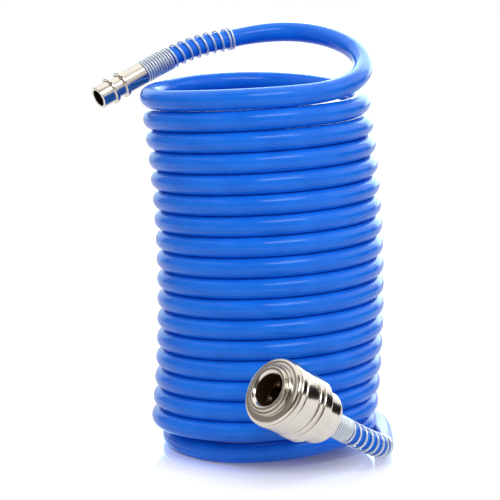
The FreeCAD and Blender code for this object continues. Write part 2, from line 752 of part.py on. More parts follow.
def make_sleeve():
    """Release sleeve. Inside, from the front: guide lip, relief for the balls, cone, land, spring
    chamber and skirt. Outside: hollowed face, flange, ridge, swelling barrel, band and skirt."""
    front = MOUTH - S["sleeve_place"]
    rear = front - S["sleeve_length"]
    flange_front = front - S["flange_front"]
    flange_rear = flange_front - S["flange_width"]
    ridge_front = flange_rear - S["groove_width"]
    ridge_rear = ridge_front - S["ridge_width"]
    barrel_front = ridge_rear - S["groove_width"]
    barrel_rear = barrel_front - S["barrel_length"]
    band_front = barrel_rear - S["groove_width"]
    band_rear = band_front - S["band_width"]
    skirt_front = band_rear - S["groove_width"]
    groove = S["band_radius"] - S["groove_depth"]
    land = S["nose_radius"] + S["sleeve_gap"]
    balls = MOUTH - S["ball_place"]
    # the cone's normal leans by its slope, so a ball of its gap's size touches it this far out
    lean_factor = math.sqrt(1 + S["cone_slope"].value ** 2)
    cone_at_balls = S["ball_circle"] + (S["ball_radius"] + S["ball_gap"]) * lean_factor
    cone_low = balls - (cone_at_balls - land) / S["cone_slope"]
    cone_high = balls + S["sleeve_travel"] + S["overtravel"]
    relief = cone_at_balls + S["cone_slope"] * (S["sleeve_travel"] + S["overtravel"])
    relief_top = balls + S["sleeve_travel"] + S["ball_radius"] + S["ball_gap"]
    skirt = S["rear_body_radius"] + S["skirt_clearance"]
    chamber = MOUTH - S["chamber_place"]
    skirt_top = MOUTH - S["skirt_place"]
    outline = [
        (skirt, rear),
        (S["band_radius"], rear),
        (S["band_radius"], skirt_front),
        (groove, skirt_front),
        (groove, band_rear),
        (S["band_radius"], band_rear),
        (S["band_radius"], band_front),
        (groove, band_front),
        (groove, barrel_rear),
        (S["barrel_radius"], barrel_rear, S["barrel_swell_radius"], 1),
        (S["barrel_radius"], barrel_front),
        (groove, barrel_front),
        (groove, ridge_rear),
        (S["ridge_radius"], ridge_rear),
        (S["ridge_radius"], ridge_front),
        (groove, ridge_front),
        (groove, flange_rear),
        (S["flange_radius"], flange_rear),
        (S["flange_radius"], flange_front),
        (S["rim_radius"], front - S["rim_place"], S["face_hollow_radius"], -1),
        (S["sleeve_front_radius"], front),
        (land, front),
        (land, relief_top),
        (relief, relief_top),
        (relief, cone_high),
        (land, cone_low),
        (land, chamber),
        (S["chamber_wall_radius"], chamber),
        (S["chamber_wall_radius"], skirt_top),
        (skirt, skirt_top),
    ]
    return turned("coupler_sleeve", outline, COUPLER)


def make_retaining_ring():
    """Split ring in the nose's groove that stops the sleeve."""
    front = MOUTH - S["ring_place"]
    rear = front - S["ring_width"]
    inner = S["nose_radius"] - S["ring_groove"] + S["seat_gap"]
    outline = [(inner, rear), (S["ring_outer"], rear), (S["ring_outer"], front), (inner, front)]
    ring = turned("retaining_ring_blank", outline, COUPLER)
    slit_place = FreeCAD.Placement(Vector(0, -S["ring_slit"].value / 2, rear.value - S["ring_slit"].value),
                                   FreeCAD.Rotation())
    slit = primitive("Box", "ring_slit", {"Length": S["ring_outer"] * 2, "Width": S["ring_slit"],
                                          "Height": S["ring_width"] + S["ring_slit"] * 2},
                     COUPLER * FreeCAD.Placement(Vector(), FreeCAD.Rotation(UP, -90)) * slit_place)
    return cut("sleeve_retaining_ring", ring, [slit])


def make_plug_seal():
    """Lip seal that grips the plug's nose."""
    front = MOUTH - S["seal_place"]
    rear = front - S["seal_width"]
    inner = S["plug_nose_radius"] + S["seat_gap"]
    outline = [(inner, rear), (S["seal_outer"], rear), (S["seal_outer"], front),
               (inner + S["seal_width"] / 2, front), (inner, rear + S["seal_width"] / 2)]
    return turned("plug_seal", outline, COUPLER)


def make_poppet():
    """Valve poppet: hollow stem with cross holes, head, and the boss that centres its spring."""
    head_front = MOUTH - S["valve_lip_place"] - S["valve_lip_width"] - S["valve_seal_width"]
    head_rear = head_front - S["poppet_head_length"]
    guide_end = head_rear - S["poppet_guide_length"]
    tip = head_front + S["poppet_stem_length"]
    outline = [
        (term(0), guide_end),
        (S["poppet_guide_radius"], guide_end),
        (S["poppet_guide_radius"], head_rear),
        (S["poppet_head_radius"], head_rear),
        (S["poppet_head_radius"], head_front),
        (S["poppet_stem_radius"], head_front),
        (S["poppet_stem_radius"], tip),
        (S["poppet_stem_bore"], tip),
        (S["poppet_stem_bore"], head_front),
        (term(0), head_front),
    ]
    body = turned("poppet_blank", outline, COUPLER)
    ports = []
    height = (head_front + S["valve_seal_width"] + S["valve_lip_width"] + S["port_radius"]).value
    count = int(S["port_count"].value)
    for i in range(count):
        spoke = FreeCAD.Placement(Vector(0, 0, height), FreeCAD.Rotation(UP, 180.0 * i / count))
        across = FreeCAD.Placement(Vector(-S["nose_radius"].value, 0, 0), FreeCAD.Rotation(Vector(0, 1, 0), 90))
        ports.append(primitive("Cylinder", "port_%d" % (i + 1),
                               {"Radius": S["port_radius"], "Height": S["nose_radius"] * 2},
                               COUPLER * spoke * across))
    return cut("valve_poppet", body, ports)


def make_valve_seal():
    """Flat ring on the poppet's head that closes on the lip."""
    top = MOUTH - S["valve_lip_place"] - S["valve_lip_width"]
    low = top - S["valve_seal_width"]
    inner = S["poppet_stem_radius"] + S["seat_gap"]
    outline = [(inner, low), (S["valve_seal_outer"], low), (S["valve_seal_outer"], top), (inner, top)]
    return turned("valve_seal", outline, COUPLER)


def make_sleeve_spring():
    start = MOUTH - S["rear_body_place"]
    end = MOUTH - S["chamber_place"]
    radius = (S["nose_radius"] + S["chamber_wall_radius"]) / 2
    return make_spring("sleeve_spring", COUPLER, start, end, radius, S["sleeve_wire"], S["sleeve_curls"])


def make_valve_spring():
    start = MOUTH - S["front_body_length"]
    end = (MOUTH - S["valve_lip_place"] - S["valve_lip_width"] - S["valve_seal_width"]
           - S["poppet_head_length"])
    return make_spring("valve_spring", COUPLER, start, end, S["valve_spring_radius"], S["valve_wire"],
                       S["valve_curls"])


def check(objects):
    """Stop if any object failed or any sub-part is empty or broken."""
    for made in doc.Objects:
        for state in made.State:
            if state in ("Invalid", "Error"):
                raise RuntimeError("%s is %s" % (made.Label, state))
    for made in objects:
        if made.Shape.isNull() or not made.Shape.isValid():
            raise RuntimeError("%s has no valid shape" % made.Label)


def main():
    rear_body = make_rear_body()
    nipple = make_plug_nipple()
    parts = [
        make_coil(),
        make_tail("coupler_hose_tail", LOWER_ROUTE, rear_body),
        make_tail("plug_hose_tail", UPPER_ROUTE, nipple),
        make_guard("coupler_bend_guard", LOWER_ROUTE),
        make_guard("plug_bend_guard", UPPER_ROUTE),
        nipple,
        rear_body,
        make_front_body(),
        make_sleeve(),
        make_retaining_ring(),
        make_sleeve_spring(),
        make_plug_seal(),
        make_body_seal(),
        make_poppet(),
        make_valve_seal(),
        make_valve_spring(),
    ] + make_balls()
    doc.recompute()
    check(parts)
    os.makedirs("parts", exist_ok=True)
    for made in parts:
        made.Shape.exportStep("parts/%s.step" % made.Label)
        box = made.Shape.BoundBox
        print("%-24s solids %d volume %9.1f  z %7.2f to %7.2f"
              % (made.Label, len(made.Shape.Solids), made.Shape.Volume, box.ZMin, box.ZMax))


main()
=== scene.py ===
import math

import bmesh
import bpy
from bpy.props import FloatProperty, FloatVectorProperty, IntProperty, PointerProperty
from mathutils import Matrix, Vector
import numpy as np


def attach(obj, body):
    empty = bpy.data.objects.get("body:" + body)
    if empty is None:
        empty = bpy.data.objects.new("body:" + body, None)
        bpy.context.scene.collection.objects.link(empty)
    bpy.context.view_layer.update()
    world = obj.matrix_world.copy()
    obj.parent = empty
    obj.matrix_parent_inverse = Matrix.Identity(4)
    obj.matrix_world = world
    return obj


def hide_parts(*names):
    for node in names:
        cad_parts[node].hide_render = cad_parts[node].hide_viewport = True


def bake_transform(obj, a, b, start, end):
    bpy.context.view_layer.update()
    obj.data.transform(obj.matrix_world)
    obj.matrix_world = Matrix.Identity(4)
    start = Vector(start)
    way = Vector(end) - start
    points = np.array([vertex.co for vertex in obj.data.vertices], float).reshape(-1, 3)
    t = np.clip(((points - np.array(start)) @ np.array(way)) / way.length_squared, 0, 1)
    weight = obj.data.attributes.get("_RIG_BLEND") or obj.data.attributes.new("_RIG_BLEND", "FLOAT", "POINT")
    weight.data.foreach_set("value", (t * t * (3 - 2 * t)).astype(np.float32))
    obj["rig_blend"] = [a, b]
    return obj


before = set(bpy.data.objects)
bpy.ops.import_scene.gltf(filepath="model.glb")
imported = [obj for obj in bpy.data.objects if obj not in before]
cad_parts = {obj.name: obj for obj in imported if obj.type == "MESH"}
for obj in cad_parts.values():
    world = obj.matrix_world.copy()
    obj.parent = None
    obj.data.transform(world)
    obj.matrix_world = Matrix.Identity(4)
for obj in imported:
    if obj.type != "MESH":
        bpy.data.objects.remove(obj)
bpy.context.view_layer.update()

bl_info = {
    "name": "Coiled air hose",
    "version": (1, 0, 0),
    "blender": (4, 5, 0),
    "location": "3D View > Sidebar > Air Hose",
    "description": "Builds a coiled air hose with its plug and quick coupler, and a studio to show it in",
    "category": "Object",
}

MM = 0.001


# Sizes and colours that a user would change

class HoseSizes(bpy.types.PropertyGroup):
    diameter: FloatProperty(
        name="Diameter", description="Outer diameter of the tube", default=0.008, unit="LENGTH")
    radius: FloatProperty(
        name="Coil radius", description="From the coil's axis to the middle of the tube", default=0.044,
        unit="LENGTH")
    gap: FloatProperty(
        name="Turn gap", description="Between one turn and the next", default=0.00045, unit="LENGTH")
    turns: IntProperty(
        name="Turns", description="Full turns below the rising loop", default=18)
    loop_rise: FloatProperty(
        name="Loop rise", description="How far the loop on top rises", default=0.0188, unit="LENGTH")
    sides: IntProperty(
        name="Sides", description="Half of the sides of the tube's section", default=10)
    swell: FloatProperty(
        name="Swell", description="How much thicker the tube is in the coil, where the turns touch",
        default=1.066)
    wire: FloatProperty(
        name="Guard wire", description="Wire of the two bend guards", default=0.00095, unit="LENGTH")
    close_pitch: FloatProperty(
        name="Close pitch", description="Pitch of a guard's close turns", default=0.00129, unit="LENGTH")
    open_pitch: FloatProperty(
        name="Open pitch", description="Pitch of a guard's open turns", default=0.0041, unit="LENGTH")


class FittingSizes(bpy.types.PropertyGroup):
    edge: FloatProperty(
        name="Edge rounding", description="Rounding of the turned edges", default=0.00028, unit="LENGTH")
    steps: IntProperty(
        name="Steps", description="Steps round each turned piece", default=96)
    barrel: FloatProperty(
        name="Barrel radius", description="Radius of the release sleeve's barrel", default=0.0137,
        unit="LENGTH")
    flange: FloatProperty(
        name="Flange radius", description="Radius of the release sleeve's flange", default=0.0141,
        unit="LENGTH")
    collar: FloatProperty(
        name="Collar radius", description="Radius of the plug's collars", default=0.006, unit="LENGTH")


class Finishes(bpy.types.PropertyGroup):
    hose: FloatVectorProperty(
        name="Hose", description="Blue of the tube", subtype="COLOR", size=3, default=(0.009, 0.19, 0.88))
    hose_deep: FloatVectorProperty(
        name="Hose, deep", description="Darker blue in the tube", subtype="COLOR", size=3,
        default=(0.006, 0.16, 0.80))
    nickel: FloatVectorProperty(
        name="Nickel", description="Plating of the fittings", subtype="COLOR", size=3,
        default=(0.74, 0.68, 0.60))
    zinc: FloatVectorProperty(
        name="Zinc", description="Plating of the spring wire", subtype="COLOR", size=3,
        default=(0.84, 0.88, 0.91))
    # Painted shade: this dark brown colours the coupler's bore and stands in for the shade inside its mouth
    bore: FloatVectorProperty(
        name="Bore", description="Oiled, unplated bore of the coupler", subtype="COLOR", size=3,
        default=(0.24, 0.14, 0.07))
    brass: FloatVectorProperty(
        name="Brass", description="Valve", subtype="COLOR", size=3, default=(0.62, 0.42, 0.16))
    rubber: FloatVectorProperty(
        name="Rubber", description="Seals", subtype="COLOR", size=3, default=(0.018, 0.018, 0.019))


class StageLook(bpy.types.PropertyGroup):
    distance: FloatProperty(
        name="Camera distance", description="From the coil's axis to the camera", default=0.8, unit="LENGTH")
    height: FloatProperty(
        name="Camera height", description="Height of the camera over the floor", default=0.2069,
        unit="LENGTH")
    side: FloatProperty(
        name="Camera side", description="How far right of the axis the camera stands", default=-0.00473,
        unit="LENGTH")
    pitch: FloatProperty(
        name="Camera pitch", description="How far the camera looks down", default=0.1525, unit="ROTATION")
    lens: FloatProperty(
        name="Lens", description="Focal length in millimetres", default=137.3)
    fill: FloatProperty(
        name="Fill light", description="Strength of the white surroundings", default=0.66)
    key: FloatProperty(
        name="Key light", description="Power of the soft lamp in front", default=4.8, unit="POWER")
    rim: FloatProperty(
        name="Rim lights", description="Power of the two lamps behind", default=3.2, unit="POWER")


def sizes():
    return bpy.context.scene.hose_sizes


def fittings():
    return bpy.context.scene.fitting_sizes


def finishes():
    return bpy.context.scene.hose_finishes


# Shader graphs

class Number:
    """A value in a shader graph, which Python's operators do sums with."""

    def __init__(self, graph, socket):
        self.graph = graph
        self.socket = socket

    def sum_of(self, operation, first, second=None):
        inputs = {0: first} if second is None else {0: first, 1: second}
        return self.graph.add("ShaderNodeMath", {"operation": operation}, inputs).out()

    def __add__(self, other):
        return self.sum_of("ADD", self, other)

    __radd__ = __add__

    def __sub__(self, other):
        return self.sum_of("SUBTRACT", self, other)

    def __mul__(self, other):
        return self.sum_of("MULTIPLY", self, other)

    __rmul__ = __mul__

    def __lt__(self, other):
        return self.sum_of("LESS_THAN", self, other)


class Step:
    """One node of a graph."""

    def __init__(self, graph, node):
        self.graph = graph
        self.node = node

    def out(self, name=0):
        return Number(self.graph, self.node.outputs[name])


class Graph:
    """The nodes of one material or of the world."""

    def __init__(self, owner):
        owner.use_nodes = True
        self.tree = owner.node_tree
        self.tree.nodes.clear()

    def add(self, kind, settings=None, inputs=None):
        node = self.tree.nodes.new(kind)
        for key, value in (settings or {}).items():
            if key == "stops":
                self.set_stops(node, value)
            else:
                setattr(node, key, value)
        for key, value in (inputs or {}).items():
            if isinstance(value, Number):
                self.tree.links.new(value.socket, node.inputs[key])
            else:
                node.inputs[key].default_value = value
        return Step(self, node)

    def set_stops(self, node, stops):
        ramp = node.color_ramp
        while len(ramp.elements) < len(stops):
            ramp.elements.new(1.0)
        for element, (place, value) in zip(ramp.elements, stops):
            element.position = place
            element.color = (value, value, value, 1.0)

    def noise(self, vector, scale, detail=2.0):
        step = self.add("ShaderNodeTexNoise", None, {"Vector": vector, "Scale": scale, "Detail": detail})
        return step.out("Fac")

    def ramp(self, value, *stops):
        return self.add("ShaderNodeValToRGB", {"stops": stops}, {"Fac": value}).out("Color")

    def mix(self, share, first, second):
        step = self.add("ShaderNodeMix", {"data_type": "RGBA"}, {"Factor": share})
        for key, value in ((6, first), (7, second)):
            if isinstance(value, Number):
                self.tree.links.new(value.socket, step.node.inputs[key])
            else:
                step.node.inputs[key].default_value = (*value, 1.0)
        return step.out(2)

    def vector(self, operation, first, second=None, name=0):
        inputs = {0: first} if second is None else {0: first, 1: second}
        return self.add("ShaderNodeVectorMath", {"operation": operation}, inputs).out(name)

    def place(self):
        return self.add("ShaderNodeTexCoord").out("Object")

    def bump(self, height, strength, distance):
        inputs = {"Strength": strength, "Distance": distance, "Height": height}
        return self.add("ShaderNodeBump", None, inputs).out()

    def finish(self, inputs):
        shader = self.add("ShaderNodeBsdfPrincipled", None, inputs)
        self.add("ShaderNodeOutputMaterial", None, {"Surface": shader.out()})


def along_and_out(graph, axis_start, axis):
    """How far a point lies along a fitting's axis, and how far out from it, in metres."""
    offset = graph.vector("SUBTRACT", graph.place(), tuple(axis_start))
    along = graph.vector("DOT_PRODUCT", offset, tuple(axis), "Value")
    far = graph.vector("LENGTH", offset, None, "Value")
    out = graph.add("ShaderNodeMath", {"operation": "SQRT"}, {0: far * far - along * along}).out()
    return along, out


MARKS_PER_MM = 5.0


def turning_marks(graph, along, out):
    """Fine rings left by the lathe, as a value round one half."""
    rings = graph.add("ShaderNodeCombineXYZ", None, {"X": along * (1 / MM), "Y": out * (1 / MM)}).out()
    return graph.noise(rings, MARKS_PER_MM, 3.0)


def tube_finish():
    """Glossy, slightly cloudy blue polyurethane with faint draw lines along it."""
    material = bpy.data.materials.new("blue polyurethane")
    graph = Graph(material)
    look = finishes()
    place = graph.place()
    cloud = graph.ramp(graph.noise(place, 90.0, 3.0), (0.35, 0.0), (0.65, 1.0))
    fine = graph.noise(place, 900.0, 2.0)
    lines = graph.add("ShaderNodeUVMap", {"uv_map": "tube"}).out()
    drawn = graph.noise(graph.vector("MULTIPLY", lines, (160.0, 1.2, 1.0)), 1.0, 2.0)
    graph.finish({
        "Base Color": graph.mix(cloud, tuple(look.hose_deep), tuple(look.hose)),
        "Roughness": 0.13 + 0.08 * fine + 0.05 * drawn,
        "Normal": graph.bump(drawn, 0.05, 0.0001),
        "IOR": 1.34,
    })
    return material


def nickel_finish(name, start, axis, painted_shade_radius=0.0):
    """Bright nickel plating over turned metal; inside the given radius, painted shade: the bore is dark
    brown and rougher.
    """
    material = bpy.data.materials.new(name)
    graph = Graph(material)
    look = finishes()
    along, out = along_and_out(graph, start, axis)
    marks = turning_marks(graph, along, out)
    cloud = graph.noise(graph.place(), 220.0, 2.0)
    plating = graph.mix(graph.ramp(cloud, (0.3, 0.0), (0.7, 1.0)), tuple(look.nickel),
                        tuple(0.94 * value for value in look.nickel))
    rough = 0.09 + 0.06 * marks + 0.05 * cloud
    colour = plating
    # Painted shade: the bore inside this radius is coloured dark brown, for the shade in the coupler's mouth
    if painted_shade_radius:
        inside = out < painted_shade_radius
        colour = graph.mix(inside, plating, tuple(look.bore))
        rough = rough + 0.3 * inside
    graph.finish({
        "Base Color": colour,
        "Metallic": 1.0,
        "Roughness": rough,
        "Normal": graph.bump(marks, 0.10, 0.00002),
    })
    return material


def zinc_finish():
    """Bluish zinc plating on drawn spring wire."""
    material = bpy.data.materials.new("zinc plated wire")
    graph = Graph(material)
    look = finishes()
    place = graph.place()
    cloud = graph.noise(place, 500.0, 3.0)
    grain = graph.noise(place, 4000.0, 2.0)
    graph.finish({
        "Base Color": graph.mix(cloud, tuple(look.zinc), tuple(0.85 * value for value in look.zinc)),
        "Metallic": 0.6,
        "Roughness": 0.30 + 0.16 * grain,
        "Normal": graph.bump(grain, 0.15, 0.00002),
    })
    return material


def ball_finish():
    """Steel balls in painted shade: a dark brown base colour for the shade in the coupler's mouth, with a
    noise in tone and roughness.
    """
    material = bpy.data.materials.new("steel in painted shade")
    graph = Graph(material)
    tone_noise = graph.noise(graph.place(), 600.0, 2.0)
    # Painted shade: both tones are darkened for the shade that the balls lie in
    graph.finish({
        "Base Color": graph.mix(tone_noise, (0.30, 0.25, 0.20), (0.20, 0.15, 0.11)),
        "Metallic": 1.0,
        "Roughness": 0.28 + 0.12 * tone_noise,
        "Normal": graph.bump(tone_noise, 0.08, 0.00002),
    })
    return material


def brass_finish(start, axis):
    """Turned brass with a dull skin."""
    material = bpy.data.materials.new("turned brass")
    graph = Graph(material)
    look = finishes()
    along, out = along_and_out(graph, start, axis)
    marks = turning_marks(graph, along, out)
    cloud = graph.noise(graph.place(), 300.0, 3.0)
    graph.finish({
        "Base Color": graph.mix(cloud, tuple(look.brass), tuple(0.6 * value for value in look.brass)),
        "Metallic": 1.0,
        "Roughness": 0.25 + 0.2 * cloud,
        "Normal": graph.bump(marks, 0.15, 0.00002),
    })
    return material


def rubber_finish():
    """Matte black seal rubber with a light bloom."""
    material = bpy.data.materials.new("seal rubber")
    graph = Graph(material)
    look = finishes()
    bloom = graph.noise(graph.place(), 700.0, 3.0)
    graph.finish({
        "Base Color": graph.mix(bloom, tuple(look.rubber), tuple(1.8 * value for value in look.rubber)),
        "Roughness": 0.5 + 0.25 * bloom,
        "Normal": graph.bump(bloom, 0.2, 0.00003),
    })
    return material


# Course of the hose, as in the part's source, in millimetres

LEAN_HEIGHT = 150.0
LEAN_RIGHT = 18.6
LEAN_LEFT = 21.6
TILT = 2.4
START_HEIGHT = 1.4
FLOOR_HEIGHT = 3.5
FLOOR_END = 190.0
FLOOR_FADE = 140.0
TAIL_LIFT = 0.5
TAIL_LIFT_SPAN = 45.0
TUCK = 7.0
TUCK_MIDDLE = 220.0
TUCK_SPAN = 130.0
SWING_SPAN = 110.0
SWING_FADE = 90.0
SWING = Vector((8, 12, 0))
LOOP_LEAD = 60.0
LOOP_SPAN = 172.0
LOOP_DIP = 1.2
LOOP_SHIFT = Vector((11, 7, 0))
LOOP_DRAW_IN = 5.0
BACK_RISE = 5.5
BACK_LEAD = 270.0
BACK_SPAN = 130.0
POINTS_PER_TURN = 24
LOWER_POINTS = [(23.787, -67.697, 27.331), (39.987, -53.097, 15.131), (50.687, -37.497, 7.331),
                (52.225, -12.989, 4.723)]
UPPER_POINTS = [(-13.9198, 40.2066, 171.3283), (-25.799, 35.407, 169.125), (-38.690, 27.547, 164.468),
                (-51.170, 19.657, 157.578)]


def smooth(share):
    """A share from 0 to 1 that starts and ends gently."""
    share = max(0.0, min(1.0, share))
    return share * share * (3 - 2 * share)


def lean(height):
    """How far the coil's axis stands to the right at a height: the pile bows over to the left."""
    share = min(height, LEAN_HEIGHT) / LEAN_HEIGHT
    return LEAN_RIGHT * share - LEAN_LEFT * share * share


def coil_point(degrees, widen):
    """A point of the coil at an angle, its radius widened for the spline that cuts inside it."""
    pitch = (sizes().diameter + sizes().gap) / MM
    loop_start = 360.0 * sizes().turns - LOOP_LEAD
    angle = math.radians(degrees)
    free = START_HEIGHT + pitch * degrees / 360.0 + TILT / 2 * math.cos(angle)
    on_floor = 1 - smooth((degrees - FLOOR_END) / FLOOR_FADE)
    lift = TAIL_LIFT * max(0.0, min(1.0, (TAIL_LIFT_SPAN - degrees) / TAIL_LIFT_SPAN)) ** 2
    loop = max(0.0, (degrees - loop_start) / LOOP_SPAN)
    rise = sizes().loop_rise / MM * math.sin(loop * LOOP_DIP * math.pi / 2) ** 2
    swing = smooth((SWING_SPAN - degrees) / SWING_FADE)
    away = abs(degrees - TUCK_MIDDLE) / TUCK_SPAN
    tuck = TUCK * (1 + math.cos(math.pi * away)) / 2 if away < 1 else 0.0
    behind = abs(degrees - 360.0 * sizes().turns + BACK_LEAD) / BACK_SPAN
    rise += BACK_RISE * (1 + math.cos(math.pi * behind)) / 2 if behind < 1 else 0.0
    radius = (sizes().radius / MM - tuck - LOOP_DRAW_IN * smooth(loop)) * widen
    centre = Vector((lean(free), 0, 0)) + LOOP_SHIFT * smooth(loop) + SWING * swing
    height = FLOOR_HEIGHT * on_floor + free * (1 - on_floor) + lift + rise
    return centre + Vector((radius * math.cos(angle), radius * math.sin(angle), height))


def hose_points():
    """Control points from the coupler round the coil to the plug."""
    step = 360.0 / POINTS_PER_TURN
    widen = 4 / (3 + math.cos(math.radians(step)))
    last = 360.0 * sizes().turns - LOOP_LEAD + LOOP_SPAN
    count = round(last / step)
    coil = [coil_point(last * i / count, widen) for i in range(count + 1)]
    points = [Vector(p) for p in LOWER_POINTS] + coil + [Vector(p) for p in UPPER_POINTS]
    # The tube is thicker only where its turns lie on each other
    slim_below = [1.0] * (len(LOWER_POINTS) + 1)
    slim_above = [1.0] * (len(UPPER_POINTS) + 1)
    swell = slim_below + [sizes().swell] * (len(coil) - 2) + slim_above
    return [(*(point * MM), factor) for point, factor in zip(points, swell)]


def hose_curve(name):
    """The hose's course as one open spline."""
    curve = bpy.data.curves.new(name, "CURVE")
    curve.dimensions = "3D"
    curve.resolution_u = 4
    points = hose_points()
    spline = curve.splines.new("NURBS")
    spline.points.add(len(points) - 1)
    for control, (x, y, z, swell) in zip(spline.points, points):
        control.co = (x, y, z, 1.0)
        control.radius = swell
    spline.order_u = 3
    spline.use_endpoint_u = True
    made = bpy.data.objects.new(name, curve)
    bpy.context.scene.collection.objects.link(made)
    bpy.context.view_layer.update()
    return made


def mesh_of(curve_object):
    graph = bpy.context.evaluated_depsgraph_get()
    return bpy.data.meshes.new_from_object(curve_object.evaluated_get(graph))


def course(curve_object):
    """The points along a curve that has no bevel."""
    return [tuple(vertex.co) for vertex in mesh_of(curve_object).vertices]


def frames_along(path, reach):
    """Places along the start of a path: distance, point, and two directions across it that don't twist."""
    places = []
    run = 0.0
    point = Vector(path[0])
    heading = (Vector(path[1]) - point).normalized()
    side = heading.orthogonal().normalized()
    for following in path[1:]:
        places.append((run, point, side, heading.cross(side)))
        if run > reach:
            break
        there = Vector(following)
        turn = heading.rotation_difference((there - point).normalized())
        heading = (there - point).normalized()
        side = turn @ side
        side = (side - heading * side.dot(heading)).normalized()
        run += (there - point).length
        point = there
    return places


def place_at(places, distance):
    """The point and the two cross directions at a distance, between two places."""
    index = 0
    while index < len(places) - 2 and places[index + 1][0] < distance:
        index += 1
    near, far = places[index], places[index + 1]
    share = (distance - near[0]) / (far[0] - near[0])
    return [near[k].lerp(far[k], share) for k in (1, 2, 3)]


# Guards: gap to the tube, the hose's length that they reach along, and steps in a turn

GUARD_CLEARANCE = 0.0002
GUARD_REACH = 0.08
GUARD_STEPS = 20


def spring_round(name, path, pitches):
    """A spring round the start of a path, its pitch changing evenly over each stretch of turns."""
    radius = sizes().diameter / 2 + GUARD_CLEARANCE + sizes().wire / 2
    distance = sizes().wire / 2
    places = frames_along(path, GUARD_REACH)
    points = []
    pitch = pitches[0][1]
    turned = 0.0
    for span, next_pitch in pitches[1:]:
        count = round(span * GUARD_STEPS)
        for i in range(count):
            middle, side, up = place_at(places, distance)
            angle = 2 * math.pi * turned
            points.append(middle + side * (radius * math.cos(angle)) + up * (radius * math.sin(angle)))
            distance += (pitch + (next_pitch - pitch) * (i + 0.5) / count) / GUARD_STEPS
            turned += 1.0 / GUARD_STEPS
        pitch = next_pitch
    curve = bpy.data.curves.new(name, "CURVE")
    curve.dimensions = "3D"
    curve.bevel_depth = sizes().wire / 2
    curve.bevel_resolution = 3
    curve.use_fill_caps = True
    spline = curve.splines.new("POLY")
    spline.points.add(len(points) - 1)
    for control, point in zip(spline.points, points):
        control.co = (*point, 1.0)
    line = bpy.data.objects.new(name + "_line", curve)
    bpy.context.scene.collection.objects.link(line)
    bpy.context.view_layer.update()
    spring = bpy.data.objects.new(name, mesh_of(line))
    bpy.context.scene.collection.objects.link(spring)
    bpy.data.objects.remove(line)
    spring.data.materials.clear()
    spring.data.materials.append(zinc_finish())
    spring.data.shade_smooth()
    return spring


# Turns of a guard, and the pitch of its last ones

CLOSE_TURNS = 11.0
OPEN_TURNS = 6.5
END_TURNS = 1.5
CHANGE_TURNS = 0.5
END_PITCH = 0.00155

# Lengths of hose at its two ends that don't stretch

STILL_BELOW = 0.09
STILL_ABOVE = 0.16


class AIRHOSE_OT_wind_hose(bpy.types.Operator):
    """Wind the blue tube and the guard springs round its two ends"""

    bl_idname = "airhose.wind_hose"
    bl_label = "Wind the hose"

    def execute(self, context):
        line = hose_curve("hose_line")
        path = course(line)
        self.wind_guard("coupler_guard", path, "hose_and_coupler", "coupler_bend_guard")
        self.wind_guard("plug_guard", path[::-1], "plug_end", "plug_bend_guard")
        line.data.bevel_depth = sizes().diameter / 2
        line.data.bevel_resolution = sizes().sides - 2
        line.data.use_fill_caps = True
        context.view_layer.update()
        tube = bpy.data.objects.new("hose", mesh_of(line))
        context.scene.collection.objects.link(tube)
        bpy.data.objects.remove(line)
        mesh = tube.data
        mesh.materials.clear()
        mesh.materials.append(tube_finish())
        for layer in mesh.uv_layers:
            layer.name = "tube"
        mesh.shade_smooth()
        self.rest_on_floor(mesh)
        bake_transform(tube, "hose_and_coupler", "plug_end", (0, 0, 0), (0, 0, 0.17))
        self.stretch_evenly(mesh, path)
        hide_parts("hose_coil", "coupler_hose_tail", "plug_hose_tail")
        return {"FINISHED"}

    def rest_on_floor(self, mesh):
        """Flatten the lowest turn where it lies."""
        for vertex in mesh.vertices:
            vertex.co.z = max(vertex.co.z, 0.0)

    def wind_guard(self, name, path, body, node):
        """A guard spring round the start of a path: close turns, open turns, a few close ones."""
        close, wide = sizes().close_pitch, sizes().open_pitch
        pitches = [(0.0, close), (CLOSE_TURNS, close), (CHANGE_TURNS, wide), (OPEN_TURNS, wide),
                   (CHANGE_TURNS, END_PITCH), (END_TURNS, END_PITCH)]
        guard = spring_round(name, path, pitches)
        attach(guard, body)
        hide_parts(node)

    def stretch_evenly(self, mesh, path):
        """Share the stretch out along the turns, where each ring of the tube stays whole."""
        run = [0.0]
        for a, b in zip(path, path[1:]):
            run.append(run[-1] + (Vector(b) - Vector(a)).length)
        last = run[-1] - STILL_ABOVE
        per_ring = len(mesh.vertices) // len(path)
        shares = mesh.attributes["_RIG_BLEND"].data
        for i, share in enumerate(shares):
            ring = min(i // per_ring, len(path) - 1)
            share.value = max(0.0, min(1.0, (run[ring] - STILL_BELOW) / (last - STILL_BELOW)))


# Fittings, with radii and with heights from the free end of their barbs, in millimetres

SHOULDER = 8.0
BARB_ROOT = 2.35
BARB_TOP = 2.75
BARB_RIDGES = 3
AIR_PASSAGE = 1.5
NOSE_END = 42.0
BALLS = 6

# In metres: the flat last turn of a coupler spring, and how close two points are joined

END_TURN = 0.0006
MERGED = 1e-7


def fitting_pose(end, behind):
    """Where the barb in a hose end begins, and which way the fitting points."""
    axis = (Vector(end) - Vector(behind)).normalized()
    return (Vector(end) - axis * SHOULDER) * MM, axis


COUPLER_START, COUPLER_AXIS = fitting_pose(LOWER_POINTS[0], LOWER_POINTS[1])
PLUG_START, PLUG_AXIS = fitting_pose(UPPER_POINTS[-1], UPPER_POINTS[-2])


def arc_points(start, end, radius, side, count):
    """Points between two outline points on an arc of the given radius, both ends left out."""
    start = Vector(start)
    end = Vector(end)
    chord = end - start
    inward = Vector((-chord.y, chord.x)).normalized() * side
    centre = (start + end) / 2 + inward * math.sqrt(radius ** 2 - (chord.length / 2) ** 2)
    first = start - centre
    last = end - centre
    sweep = math.atan2(first.x * last.y - first.y * last.x, first.dot(last))
    turned = [Matrix.Rotation(sweep * i / (count + 1), 2) @ first for i in range(1, count + 1)]
    return [tuple(centre + spoke) for spoke in turned]


